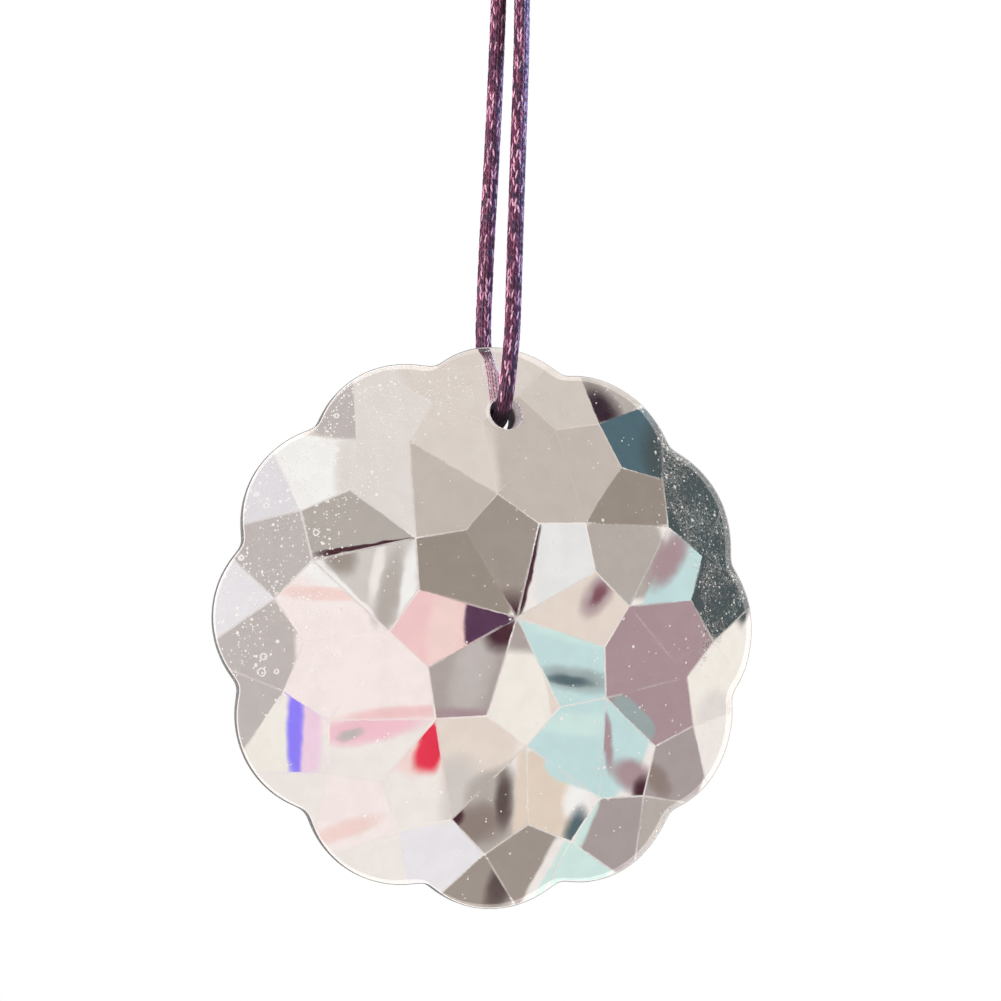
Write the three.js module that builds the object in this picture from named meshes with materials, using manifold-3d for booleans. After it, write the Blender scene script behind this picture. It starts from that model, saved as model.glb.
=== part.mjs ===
// A hanging crystal suncatcher: a scalloped glass disc cut with rings of flat facets, on a satin cord
// that passes through a hole near its top, is knotted above it and ends in a hanging loop.
// Millimetres, +Z up. The cut face looks along -Y. The origin is inside the top of the hanging loop,
// where a hook bears.
import * as THREE from "three";
import { mergeVertices } from "three/addons/utils/BufferGeometryUtils.js";
import Module from "manifold-3d";

const wasm = await Module();
wasm.setup();

// Glass disc: outline
const DISC_DIAMETER = 59; // across two opposite lobes
const LOBES = 12;
const NOTCH_RADIUS = 27.5; // from the disc's centre to the bottom of a notch
const ARC_STEPS = 9; // straight edges along one lobe
// Glass disc: the cut, from the point in the middle out to the rim
const THICKNESS = 9.6; // from the middle point to the flat back
const STAR_ARMS = 8;
const STAR_SLOPE = 0.134; // fall of the innermost facets for each millimetre outwards
const STAR_TURN = THREE.MathUtils.degToRad(7.5); // the first star facet's heading, from +X towards +Z
const CORNER_RADII = [10.2, 12.85, 20.9, 23.8]; // where facets of neighbouring rings meet
const RIM_CORNER_RADIUS = 29;
const RIM_CORNER_SHARE = 0.25; // of the way from a rim facet's heading to its neighbour's
const BACK_Y = 3.3; // the flat back, which puts the disc's middle of mass under the hook
const BACK_BEVEL = 0.7;
// Hole
const HOLE_DIAMETER = 3.5;
const HOLE_HEIGHT = 21.7; // above the disc's centre
const HOLE_SIDES = 24;
// Cord, knot and loop
const CORD_DIAMETER = 1.7;
const CORD_SIDES = 8;
const KNOT_TOP = -18.5;
const KNOT_BASE = -25;
const KNOT_LEFT = 0.5; // how far left of the hook the knot hangs
const KNOT_WAIST = 2.3; // from the knot's middle to the middle of a wrap
const KNOT_WRAPS = 3;
const KNOT_SIDES = 14;
const WRAP_TILT = THREE.MathUtils.degToRad(14);
const STRAND_STEPS = 56;
const LOOP_STEPS = 22;
// The disc's centre, below the hook
const DISC_DROP = 95;
const DISC_LEFT = 1;

const glass = new THREE.MeshStandardMaterial({
  color: 0xe6dedb,
  roughness: 0.02,
  metalness: 0,
  flatShading: true,
});
const satin = new THREE.MeshStandardMaterial({ color: 0x5b2a45, roughness: 0.45, metalness: 0 });

// The strands: down in front of the disc, through the hole to the back, and up behind the disc.
const STRAND_ROUTE = [
  [0.7, -0.35, -25.3],
  [0.55, -0.75, -33],
  [0.18, -1.25, -43],
  [-0.25, -1.85, -54],
  [-0.7, -2.45, -65],
  [-1.05, -2.68, -68.5],
  [-1.25, -2.62, -70.6],
  [-1.33, -2.15, -72.03],
  [-1.3, -0.78, -73.4],
  [-1.2, 1.1, -73.9],
  [-1, 2.98, -73.4],
  [-0.85, 4.35, -72.03],
  [-0.85, 4.85, -70.3],
  [-1.2, 4.85, -68],
  [-1.75, 4.6, -65],
  [-1.9, 3.6, -56],
  [-1.75, 2.25, -43.5],
  [-1.72, 1.2, -34],
  [-1.74, 0.35, -25.3],
];

// The loop: up from the knot, over the hook and down to the knot again.
const LOOP_ROUTE = [
  [0.65, 0, -18.2],
  [1.35, 0, -16],
  [2.35, 0, -13],
  [3.15, 0, -10],
  [3.6, 0, -7],
  [3.55, 0, -4],
  [2.75, 0, -1.2],
  [0, 0, 0.85],
  [-2.75, 0, -1.2],
  [-3.65, 0, -4],
  [-3.85, 0, -7],
  [-3.6, 0, -10],
  [-3, 0, -13],
  [-2.2, 0, -16],
  [-1.7, 0, -18.2],
];

function solid(geometry) {
  const bare = geometry.clone();
  bare.deleteAttribute("normal");
  bare.deleteAttribute("uv");
  const merged = mergeVertices(bare, 1e-4);
  return new wasm.Manifold(
    new wasm.Mesh({
      numProp: 3,
      vertProperties: new Float32Array(merged.attributes.position.array),
      triVerts: new Uint32Array(merged.index.array),
    }),
  );
}

function geometryOf(manifold) {
  const mesh = manifold.getMesh();
  const geometry = new THREE.BufferGeometry();
  geometry.setAttribute("position", new THREE.BufferAttribute(mesh.vertProperties, 3));
  geometry.setIndex(new THREE.BufferAttribute(mesh.triVerts, 1));
  geometry.computeVertexNormals();
  return geometry;
}

function named(name, geometry, material) {
  const mesh = new THREE.Mesh(geometry, material);
  mesh.name = name;
  return mesh;
}

// Each lobe is an arc that joins two notches and bulges out to the disc's full radius.
function scallopedOutline() {
  const halfChord = NOTCH_RADIUS * Math.sin(Math.PI / LOBES);
  const bulge = DISC_DIAMETER / 2 - NOTCH_RADIUS * Math.cos(Math.PI / LOBES);
  const radius = (halfChord ** 2 + bulge ** 2) / (2 * bulge);
  const centre = DISC_DIAMETER / 2 - radius;
  const reach = Math.asin(halfChord / radius);
  const points = [];
  for (let lobe = 0; lobe < LOBES; lobe++) {
    const heading = Math.PI / 2 + (lobe * 2 * Math.PI) / LOBES;
    for (let step = 0; step < ARC_STEPS; step++) {
      const turn = heading + reach * ((2 * step) / ARC_STEPS - 1);
      const x = centre * Math.cos(heading) + radius * Math.cos(turn);
      const z = centre * Math.sin(heading) + radius * Math.sin(turn);
      points.push(new THREE.Vector2(x, z));
    }
  }
  return new THREE.Shape(points);
}

// The uncut disc, with its edge bevelled at the back. The cut takes the front bevel away.
function blank() {
  const geometry = new THREE.ExtrudeGeometry(scallopedOutline(), {
    depth: THICKNESS - 2 * BACK_BEVEL,
    bevelThickness: BACK_BEVEL,
    bevelSize: BACK_BEVEL,
    bevelOffset: -BACK_BEVEL,
    bevelSegments: 1,
    curveSegments: 1,
  });
  geometry.rotateX(Math.PI / 2); // the outline goes to XZ, and the depth runs along -Y
  geometry.translate(0, BACK_Y - BACK_BEVEL, 0);
  return solid(geometry);
}

// How the surface falls away from the middle point: slope * distance - lift, along a facet's own
// heading. Each ring follows from the one inside it and from the corners that the two share.
function ringFalls() {
  const spacing = Math.PI / STAR_ARMS;
  const arm = Math.cos(spacing);
  const halfArm = Math.cos(spacing / 2);
  const [starCorner, starTip, kiteTip, wedgeTip] = CORNER_RADII;
  const star = { slope: STAR_SLOPE, lift: 0 };
  const kiteSlope = (STAR_SLOPE * (starTip - starCorner * arm)) / (starTip * arm - starCorner);
  const kite = { slope: kiteSlope, lift: (kiteSlope - STAR_SLOPE * arm) * starCorner };
  const fallAtStarTip = STAR_SLOPE * starTip;
  const fallAtKiteTip = kite.slope * kiteTip - kite.lift;
  const wedgeSlope = (fallAtKiteTip - fallAtStarTip) / ((kiteTip - starTip) * halfArm);
  const wedge = { slope: wedgeSlope, lift: wedgeSlope * starTip * halfArm - fallAtStarTip };
  const fallAtWedgeTip = wedge.slope * wedgeTip - wedge.lift;
  const rimSlope = (fallAtWedgeTip - fallAtKiteTip) / (wedgeTip * halfArm - kiteTip);
  const rim = { slope: rimSlope, lift: rimSlope * kiteTip - fallAtKiteTip };
  const rimShare = (spacing / 2) * RIM_CORNER_SHARE;
  const alongRim = RIM_CORNER_RADIUS * Math.cos(rimShare);
  const alongSpear = RIM_CORNER_RADIUS * Math.cos(spacing / 2 - rimShare);
  const fallAtRim = rim.slope * alongRim - rim.lift;
  const spearSlope = (fallAtRim - fallAtWedgeTip) / (alongSpear - wedgeTip);
  const spear = { slope: spearSlope, lift: spearSlope * wedgeTip - fallAtWedgeTip };
  return { star, kite, wedge, rim, spear };
}

// A block that fills all the space in front of one facet.
function facetCutter(heading, { slope, lift }) {
  const block = new THREE.BoxGeometry(2 * DISC_DIAMETER, DISC_DIAMETER, 2 * DISC_DIAMETER);
  block.translate(0, -DISC_DIAMETER / 2, 0);
  block.rotateZ(Math.atan(slope));
  block.translate(0, BACK_Y - THICKNESS - lift, 0);
  block.rotateY(-heading);
  return solid(block);
}

// Five rings of facets: a star round the middle point, kites between its tips, wedges beside the
// kites, and rim facets with spears between them at the edge.
function crystalGeometry() {
  const { star, kite, wedge, rim, spear } = ringFalls();
  const step = Math.PI / STAR_ARMS;
  let body = blank();
  for (let i = 0; i < 2 * STAR_ARMS; i++) {
    const heading = STAR_TURN + i * step;
    for (const cutter of [
      facetCutter(heading, i % 2 ? kite : star),
      facetCutter(heading + step / 2, wedge),
      facetCutter(heading, rim),
      facetCutter(heading + step / 2, spear),
    ])
      body = body.subtract(cutter);
  }
  const radius = HOLE_DIAMETER / 2;
  const drill = new THREE.CylinderGeometry(radius, radius, 3 * THICKNESS, HOLE_SIDES);
  drill.translate(0, 0, HOLE_HEIGHT);
  return geometryOf(body.subtract(solid(drill)));
}

function cordGeometry(route, steps) {
  const corners = [];
  for (let i = 0; i < CORD_SIDES; i++) {
    const turn = (i * 2 * Math.PI) / CORD_SIDES;
    corners.push(new THREE.Vector2(Math.cos(turn), Math.sin(turn)).multiplyScalar(CORD_DIAMETER / 2));
  }
  const path = new THREE.CatmullRomCurve3(route.map((place) => new THREE.Vector3(...place)));
  return new THREE.ExtrudeGeometry(new THREE.Shape(corners), { steps, extrudePath: path });
}

// A barrel of doubled cord with slanting wraps round it.
function knotGeometry() {
  const radius = CORD_DIAMETER / 2;
  const half = (KNOT_TOP - KNOT_BASE) / 2;
  const profile = [
    [0, -half],
    [KNOT_WAIST - radius / 2, -half],
    [KNOT_WAIST, -half + radius],
    [KNOT_WAIST, half - radius],
    [KNOT_WAIST - radius / 2, half],
    [0, half],
  ];
  const barrel = new THREE.LatheGeometry(
    profile.map(([r, z]) => new THREE.Vector2(r, z)),
    KNOT_SIDES,
  );
  barrel.rotateX(Math.PI / 2);
  let body = solid(barrel);
  const spacing = (2 * (half - radius)) / KNOT_WRAPS;
  for (let i = 0; i < KNOT_WRAPS; i++) {
    const wrap = new THREE.TorusGeometry(KNOT_WAIST, radius, CORD_SIDES, KNOT_SIDES);
    wrap.rotateY(WRAP_TILT);
    wrap.translate(0, 0, (i - (KNOT_WRAPS - 1) / 2) * spacing);
    body = body.add(solid(wrap));
  }
  return geometryOf(body);
}

const crystal = named("crystal", crystalGeometry(), glass);
crystal.position.set(-DISC_LEFT, 0, -DISC_DROP);

const knot = named("cord_knot", knotGeometry(), satin);
knot.position.set(-KNOT_LEFT, 0, (KNOT_TOP + KNOT_BASE) / 2);

const suncatcher = new THREE.Group();
suncatcher.add(crystal);
suncatcher.add(named("cord", cordGeometry(STRAND_ROUTE, STRAND_STEPS), satin));
suncatcher.add(knot);
suncatcher.add(named("hanging_loop", cordGeometry(LOOP_ROUTE, LOOP_STEPS), satin));

export default suncatcher;
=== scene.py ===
# %% [markdown]
# # A hanging crystal suncatcher
#
# This lesson dresses a small suncatcher: a scalloped glass disc, cut in front with rings of facets,
# on a braided satin cord that is knotted above it and ends in a hanging loop. The solid frame gives the
# sizes and places. Here each piece gets the shape and the finish that one sees from close by.

# %% Load the frame
import math

import bmesh
import bpy
import numpy as np
from mathutils import Matrix, Quaternion, Vector
from mathutils.geometry import delaunay_2d_cdt


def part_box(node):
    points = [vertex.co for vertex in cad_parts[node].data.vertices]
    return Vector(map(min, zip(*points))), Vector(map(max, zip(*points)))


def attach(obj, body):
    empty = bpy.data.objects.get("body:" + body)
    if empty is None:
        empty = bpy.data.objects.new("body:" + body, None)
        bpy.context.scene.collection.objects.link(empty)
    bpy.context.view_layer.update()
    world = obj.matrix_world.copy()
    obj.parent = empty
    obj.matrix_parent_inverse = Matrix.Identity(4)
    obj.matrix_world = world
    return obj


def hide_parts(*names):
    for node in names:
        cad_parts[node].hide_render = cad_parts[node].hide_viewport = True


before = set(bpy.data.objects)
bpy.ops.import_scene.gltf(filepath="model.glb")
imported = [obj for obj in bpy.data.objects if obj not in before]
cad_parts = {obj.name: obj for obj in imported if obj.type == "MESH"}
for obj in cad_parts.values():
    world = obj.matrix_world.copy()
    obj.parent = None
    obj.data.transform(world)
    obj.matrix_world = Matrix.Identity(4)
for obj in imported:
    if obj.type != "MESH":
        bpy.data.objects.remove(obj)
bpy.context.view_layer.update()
MM = 0.001

# %% [markdown]
# ## The camera
#
# The disc hangs at eye height and is seen from a little to its left and from slightly below, close
# enough for its thickness to show. The camera is placed from the disc's own middle, by two angles and
# a distance, so that it follows the disc if the disc moves.

# %% Place the camera
disc_low, disc_high = (np.array(corner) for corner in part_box("crystal"))
DISC_X, _, DISC_Z = (disc_low + disc_high) / 2
VIEW_TURN = math.radians(-16.56)
VIEW_RISE = math.radians(-7.51)
VIEW_ROLL = math.radians(0.67)
VIEW_DISTANCE = 184 * MM
VIEW_ABOVE_DISC = 12.7 * MM

aim = Vector((DISC_X, 0, DISC_Z + VIEW_ABOVE_DISC))
towards_camera = Vector((
    math.sin(VIEW_TURN) * math.cos(VIEW_RISE),
    -math.cos(VIEW_TURN) * math.cos(VIEW_RISE),
    math.sin(VIEW_RISE),
))
camera_data = bpy.data.cameras.new("camera")
camera_data.lens = 62.97
camera_data.sensor_width = 36
camera_data.clip_start = 0.005
camera = bpy.data.objects.new("camera", camera_data)
camera.location = aim + VIEW_DISTANCE * towards_camera
camera.rotation_mode = "QUATERNION"
level = (-towards_camera).to_track_quat("-Z", "Y")
camera.rotation_quaternion = level @ Quaternion((0, 0, 1), VIEW_ROLL)
bpy.context.collection.objects.link(camera)
bpy.context.scene.camera = camera
print("camera at", [round(v, 4) for v in camera.location])

# %% [markdown]
# ## The cord's line
#
# A cord is first a line. The few points of its route are given, and a smooth curve goes through
# them all. A centripetal Catmull-Rom curve suits it, because it doesn't swing out where close points
# follow distant ones, as they do round the rim of the hole. The same line is then walked in equal
# steps, and a pair of side directions is carried along it without twisting.


# %% Walk a smooth line through a few points
def smooth_line(points, step):
    """Points one step apart on the centripetal Catmull-Rom curve through the given points."""
    points = np.array(points, dtype=float)
    points = np.vstack([2 * points[0] - points[1], points, 2 * points[-1] - points[-2]])
    dense = []
    for p0, p1, p2, p3 in zip(points, points[1:], points[2:], points[3:]):
        t0 = 0.0
        t1 = t0 + np.linalg.norm(p1 - p0) ** 0.5
        t2 = t1 + np.linalg.norm(p2 - p1) ** 0.5
        t3 = t2 + np.linalg.norm(p3 - p2) ** 0.5
        for t in np.linspace(t1, t2, 40, endpoint=False):
            a1 = (t1 - t) / (t1 - t0) * p0 + (t - t0) / (t1 - t0) * p1
            a2 = (t2 - t) / (t2 - t1) * p1 + (t - t1) / (t2 - t1) * p2
            a3 = (t3 - t) / (t3 - t2) * p2 + (t - t2) / (t3 - t2) * p3
            b1 = (t2 - t) / (t2 - t0) * a1 + (t - t0) / (t2 - t0) * a2
            b2 = (t3 - t) / (t3 - t1) * a2 + (t - t1) / (t3 - t1) * a3
            dense.append((t2 - t) / (t2 - t1) * b1 + (t - t1) / (t2 - t1) * b2)
    dense.append(points[-2])
    return even_steps(np.array(dense), step)


def even_steps(line, step):
    """The same line, with its points one step apart."""
    walked = np.concatenate([[0], np.cumsum(np.linalg.norm(np.diff(line, axis=0), axis=1))])
    count = max(2, round(walked[-1] / step) + 1)
    wanted = np.linspace(0, walked[-1], count)
    return np.column_stack([np.interp(wanted, walked, line[:, axis]) for axis in range(3)])


def side_directions(line):
    """Two unit directions square to the line at each of its points, carried along without twist."""
    ahead = np.gradient(line, axis=0)
    ahead /= np.linalg.norm(ahead, axis=1)[:, None]
    side = np.cross(ahead[0], [0, 1, 0])
    sides = []
    for direction in ahead:
        side = side - direction * (side @ direction)
        side /= np.linalg.norm(side)
        sides.append(side)
    sides = np.array(sides)
    return sides, np.cross(ahead, sides)


# %% [markdown]
# ## Braiding it
#
# Satin cord of this kind is braided on a round braider: half its threads wind one way and half the
# other, each passing over two and under two, which makes slender slanting stitches in columns. Real
# separate threads would need many times the faces for what the eye sees as relief, so one tube gets
# the braid as real bumps: at each point the upper thread of the two sets the radius.

# %% The braided tube
CORD_DIAMETER = 1.7 * MM
THREADS_EACH_WAY = 16
BRAID_PITCH = 12.5 * MM  # length in which a thread goes once round
THREAD_ROUNDNESS = 0.09 * MM  # from a thread's crown to its edge
THREAD_LIFT = 0.06 * MM  # how far a thread rises where it is on top
SIDES_ROUND = 128
RING_STEP = 0.15 * MM


def braid_radius(turn, along):
    """The braid's surface radius at an angle (in turns) and a length."""
    one_way = (turn + along / BRAID_PITCH) * THREADS_EACH_WAY
    other_way = (turn - along / BRAID_PITCH) * THREADS_EACH_WAY
    over = np.cos((one_way + other_way) * math.pi / 2)

    def crown(count):
        across = 2 * (count % 1) - 1
        return THREAD_ROUNDNESS * (np.sqrt(np.clip(1 - 0.9 * across**2, 0, 1)) - 1)

    first = crown(one_way) + THREAD_LIFT * over
    second = crown(other_way) - THREAD_LIFT * over
    return CORD_DIAMETER / 2 - THREAD_LIFT * 0.6 + np.maximum(first, second)


def braided_tube(name, line):
    """A mesh tube with the braid's relief along a line, closed at both ends."""
    line = np.array(line)
    side, other = side_directions(line)
    along = np.arange(len(line))[:, None] * RING_STEP
    turn = np.arange(SIDES_ROUND)[None, :] / SIDES_ROUND
    radius = braid_radius(turn, along)
    angle = 2 * math.pi * turn
    ring = np.cos(angle)[..., None] * side[:, None, :] + np.sin(angle)[..., None] * other[:, None, :]
    places = line[:, None, :] + radius[..., None] * ring
    count = len(line)
    vertices = places.reshape(-1, 3).tolist() + [line[0].tolist(), line[-1].tolist()]
    faces = []
    for i in range(count - 1):
        for j in range(SIDES_ROUND):
            k = (j + 1) % SIDES_ROUND
            low, high = i * SIDES_ROUND, (i + 1) * SIDES_ROUND
            faces.append((low + j, low + k, high + k, high + j))
    start, end = count * SIDES_ROUND, count * SIDES_ROUND + 1
    last = (count - 1) * SIDES_ROUND
    for j in range(SIDES_ROUND):
        k = (j + 1) % SIDES_ROUND
        faces.append((start, k, j))
        faces.append((end, last + j, last + k))
    mesh = bpy.data.meshes.new(name)
    mesh.from_pydata(vertices, [], faces)
    mesh.shade_smooth()
    add_cord_coordinates(mesh, count)
    piece = bpy.data.objects.new(name, mesh)
    bpy.context.collection.objects.link(piece)
    return piece


def add_cord_coordinates(mesh, rings):
    """UV: once across is once round the cord, and one up is one cord width along it."""
    layer = mesh.uv_layers.new(name="along_cord")
    corner_vertex = np.empty(len(mesh.loops), dtype=int)
    mesh.loops.foreach_get("vertex_index", corner_vertex)
    ring = np.minimum(corner_vertex // SIDES_ROUND, rings - 1)
    place = corner_vertex % SIDES_ROUND
    sizes = np.empty(len(mesh.polygons), dtype=int)
    mesh.polygons.foreach_get("loop_total", sizes)
    owner = np.repeat(np.arange(len(sizes)), sizes)
    wraps = np.zeros(len(sizes), dtype=bool)
    np.logical_or.at(wraps, owner, place == SIDES_ROUND - 1)
    past_seam = (place == 0) & wraps[owner]
    across = (place + past_seam * SIDES_ROUND) / SIDES_ROUND
    coordinates = np.column_stack([across, ring * RING_STEP / CORD_DIAMETER])
    layer.data.foreach_set("uv", coordinates.ravel())
    print(mesh.name, len(mesh.polygons), "faces with coordinates")


# %% [markdown]
# ## The two strands
#
# The cord comes down from the knot in front of the disc, goes through the hole to the back, and rises
# behind the disc to the knot again. The disc's weight pulls both strands nearly straight, and they
# bear on the upper side of the hole.

# %% Lay the strands
STRAND_ROUTE = [
    (0.0007, -0.00035, -0.0253),
    (0.00055, -0.00075, -0.033),
    (0.00018, -0.00125, -0.043),
    (-0.00025, -0.00185, -0.054),
    (-0.0007, -0.00245, -0.065),
    (-0.00105, -0.00268, -0.0685),
    (-0.00125, -0.00262, -0.0706),
    (-0.00133, -0.00215, -0.07203),
    (-0.0013, -0.00078, -0.0734),
    (-0.0012, 0.0011, -0.0739),
    (-0.001, 0.00298, -0.0734),
    (-0.00085, 0.00435, -0.07203),
    (-0.00085, 0.00485, -0.0703),
    (-0.0012, 0.00485, -0.068),
    (-0.00175, 0.0046, -0.065),
    (-0.0019, 0.0036, -0.056),
    (-0.00175, 0.00225, -0.0435),
    (-0.00172, 0.0012, -0.034),
    (-0.00174, 0.00035, -0.0253),
]


def length_of(line):
    return float(np.linalg.norm(np.diff(line, axis=0), axis=1).sum())


strand_line = smooth_line(STRAND_ROUTE, RING_STEP)
strands = braided_tube("cord_strands", strand_line)
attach(strands, "root")
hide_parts("cord")
print("strands:", round(length_of(strand_line), 4), "m")

# %% [markdown]
# ## The knot
#
# The doubled cord is held by a barrel knot: three slanting wraps side by side round a core. A wrap is
# the same braided cord on a helix that comes out of the core below and goes back into it above, so
# nothing ends in the air.

# %% Wind the knot
KNOT_X = -0.5 * MM
KNOT_BASE = -25 * MM
KNOT_TOP = -18.5 * MM
WRAP_RADIUS = 2.3 * MM
WRAPS = 3
WRAP_TILT = math.radians(14)


def wrap_line():
    """The line of the wraps: a tilted helix that starts and ends inside the core."""
    margin = CORD_DIAMETER / 2
    low, high = KNOT_BASE + margin, KNOT_TOP - margin
    line = []
    for share in np.linspace(0, 1, 400):
        turns = (WRAPS + 0.5) * share
        edge = min(turns, WRAPS + 0.5 - turns) / 0.35
        reach = WRAP_RADIUS * math.sin(math.pi / 2 * min(1, edge))
        angle = 2 * math.pi * turns + 0.6
        x, y = reach * math.cos(angle), reach * math.sin(angle)
        rise = low + (high - low) * share - x * math.tan(WRAP_TILT) * 0.8
        line.append((KNOT_X + x, y, rise))
    return even_steps(np.array(line), RING_STEP)


knot = braided_tube("knot_wraps", wrap_line())
core_lines = [
    smooth_line([(x, y, KNOT_BASE - 0.4 * MM), (x, y, KNOT_TOP + 0.4 * MM)], RING_STEP)
    for x, y in ((0.65 * MM, -0.2 * MM), (-1.7 * MM, 0.2 * MM))
]
cores = [braided_tube(f"knot_core_{i}", line) for i, line in enumerate(core_lines)]
for piece in [knot, *cores]:
    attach(piece, "root")
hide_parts("cord_knot")

# %% [markdown]
# ## The hanging loop
#
# Above the knot the cord makes a slender loop, whose top bears on a hook. It narrows to the knot like
# the eye of a needle, as a doubled cord does when it carries a weight.

# %% Bend the loop
LOOP_ROUTE = [
    (0.00065, 0, -0.0182),
    (0.00135, 0, -0.016),
    (0.00235, 0, -0.013),
    (0.00315, 0, -0.01),
    (0.0036, 0, -0.007),
    (0.00355, 0, -0.004),
    (0.00275, 0, -0.0012),
    (0, 0, 0.00085),
    (-0.00275, 0, -0.0012),
    (-0.00365, 0, -0.004),
    (-0.00385, 0, -0.007),
    (-0.0036, 0, -0.01),
    (-0.003, 0, -0.013),
    (-0.0022, 0, -0.016),
    (-0.0017, 0, -0.0182),
]
loop_line = smooth_line(LOOP_ROUTE, RING_STEP)
loop = braided_tube("hanging_cord_loop", loop_line)
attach(loop, "root")
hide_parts("hanging_loop")



print("loop:", round(length_of(loop_line), 4), "m")

# %% [markdown]
# ## The cut of the glass
#
# The front of the disc is cut with five rings of flat facets, and the glass that is left lies behind
# all of their planes at once. So the surface at any place is that of the plane that lies deepest
# there. Each plane is a heading, a slope and a lift, and each ring follows from the one inside it and
# from the corners that the two share.

# %% Work out the facets
DISC_RADIUS = 29.5
LOBES = 12
NOTCH_RADIUS = 27.5
FRONT_Y = -6.3  # the point in the middle of the front
BACK_Y = 3.3
BACK_BEVEL = 0.7
STAR_ARMS = 8
STAR_SLOPE = 0.134
STAR_TURN = math.radians(7.5)
CORNERS = (10.2, 12.85, 20.9, 23.8)  # millimetres from the middle
RIM_CORNER = 29.0
RIM_SHARE = 0.25


def ring_planes():
    """Slope and lift of the planes of each ring, from the star in the middle to the rim."""
    step = math.pi / STAR_ARMS
    arm, half_arm = math.cos(step), math.cos(step / 2)
    star_corner, star_tip, kite_tip, wedge_tip = CORNERS
    kite = STAR_SLOPE * (star_tip - star_corner * arm) / (star_tip * arm - star_corner)
    kite_lift = (kite - STAR_SLOPE * arm) * star_corner
    at_star_tip = STAR_SLOPE * star_tip
    at_kite_tip = kite * kite_tip - kite_lift
    wedge = (at_kite_tip - at_star_tip) / ((kite_tip - star_tip) * half_arm)
    wedge_lift = wedge * star_tip * half_arm - at_star_tip
    at_wedge_tip = wedge * wedge_tip - wedge_lift
    rim = (at_wedge_tip - at_kite_tip) / (wedge_tip * half_arm - kite_tip)
    rim_lift = rim * kite_tip - at_kite_tip
    share = step / 2 * RIM_SHARE
    at_rim = rim * RIM_CORNER * math.cos(share) - rim_lift
    spear = (at_rim - at_wedge_tip) / (RIM_CORNER * math.cos(step / 2 - share) - wedge_tip)
    return {
        "star": (STAR_SLOPE, 0.0),
        "kite": (kite, kite_lift),
        "wedge": (wedge, wedge_lift),
        "rim": (rim, rim_lift),
        "spear": (spear, spear * wedge_tip - at_wedge_tip),
    }


def facet_planes():
    """One row for each facet: its fall along x, its fall along z and its lift."""
    planes = ring_planes()
    step = math.pi / STAR_ARMS
    rows = []
    for i in range(2 * STAR_ARMS):
        heading = STAR_TURN + i * step
        inner = "kite" if i % 2 else "star"
        for ring, turn in ((inner, 0), ("wedge", step / 2), ("rim", 0), ("spear", step / 2)):
            slope, lift = planes[ring]
            rows.append((slope * math.cos(heading + turn), slope * math.sin(heading + turn), lift))
    return np.array(rows)


PLANES = facet_planes()


def fall(x, z):
    """How far behind the front point the cut surface lies, in millimetres."""
    return float((PLANES[:, 0] * x + PLANES[:, 1] * z - PLANES[:, 2]).max())


print(len(PLANES), "facets; the rim lies", round(fall(DISC_RADIUS, 0), 2), "mm behind the middle point")

# %% [markdown]
# ## Facets with eased edges
#
# Glass is never cut to a perfect edge: polishing leaves a narrow rounded band between two facets, and
# that band catches the light as a fine line. Each facet is therefore drawn as a polygon that keeps a
# small distance from its neighbours. Cutting a big square by one straight line for each other facet
# gives that polygon.

# %% Outline every facet
EDGE_HALF = 0.115  # half the width of an eased edge
FAR_SIDES = 48  # sides of the round border that bounds the outermost facets


def clipped(polygon, a, b, c):
    """The part of a convex polygon where a x + b z is at least c."""
    kept = []
    for (x0, z0), (x1, z1) in zip(polygon, polygon[1:] + polygon[:1]):
        d0, d1 = a * x0 + b * z0 - c, a * x1 + b * z1 - c
        if d0 >= 0:
            kept.append((x0, z0))
        if d0 * d1 < 0:
            share = d0 / (d0 - d1)
            kept.append((x0 + share * (x1 - x0), z0 + share * (z1 - z0)))
    return kept


def facet_outline(index, keep_off, reach=32.0):
    """The polygon on which one facet's plane is the deepest, kept off its borders."""
    polygon = [(-reach, -reach), (reach, -reach), (reach, reach), (-reach, reach)]
    own = PLANES[index]
    for other in np.delete(PLANES, index, axis=0):
        a, b, lift = own - other
        polygon = clipped(polygon, a, b, lift + keep_off * math.hypot(a, b))
    for i in range(FAR_SIDES):
        turn = 2 * math.pi * i / FAR_SIDES
        polygon = clipped(polygon, -math.cos(turn), -math.sin(turn), -reach)
    return polygon


FACETS = [facet_outline(i, EDGE_HALF) for i in range(len(PLANES))]
print("corners of each facet:", [len(polygon) for polygon in FACETS][:8], "...")

# %% [markdown]
# ## The scalloped outline
#
# Twelve shallow arcs meet in twelve notches. A few rounds of averaging ease the notches, since a
# grinding wheel can't reach into a sharp one.

# %% Draw the outline
ARC_STEPS = 40
EASING_ROUNDS = 6


def scalloped_outline():
    """The outline's points and, at each, the direction straight out of the glass."""
    half_chord = NOTCH_RADIUS * math.sin(math.pi / LOBES)
    bulge = DISC_RADIUS - NOTCH_RADIUS * math.cos(math.pi / LOBES)
    radius = (half_chord**2 + bulge**2) / (2 * bulge)
    centre = DISC_RADIUS - radius
    reach = math.asin(half_chord / radius)
    points = []
    for lobe in range(LOBES):
        heading = math.pi / 2 + lobe * 2 * math.pi / LOBES
        for step in range(ARC_STEPS):
            turn = heading + reach * (2 * step / ARC_STEPS - 1)
            x = centre * math.cos(heading) + radius * math.cos(turn)
            z = centre * math.sin(heading) + radius * math.sin(turn)
            points.append((x, z))
    points = np.array(points)
    for _ in range(EASING_ROUNDS):
        points = (np.roll(points, 1, axis=0) + 2 * points + np.roll(points, -1, axis=0)) / 4
    along = np.roll(points, -1, axis=0) - np.roll(points, 1, axis=0)
    along /= np.linalg.norm(along, axis=1)[:, None]
    return points, np.column_stack([along[:, 1], -along[:, 0]])


OUTLINE, OUTWARDS = scalloped_outline()
print(len(OUTLINE), "points in the outline")
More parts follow.
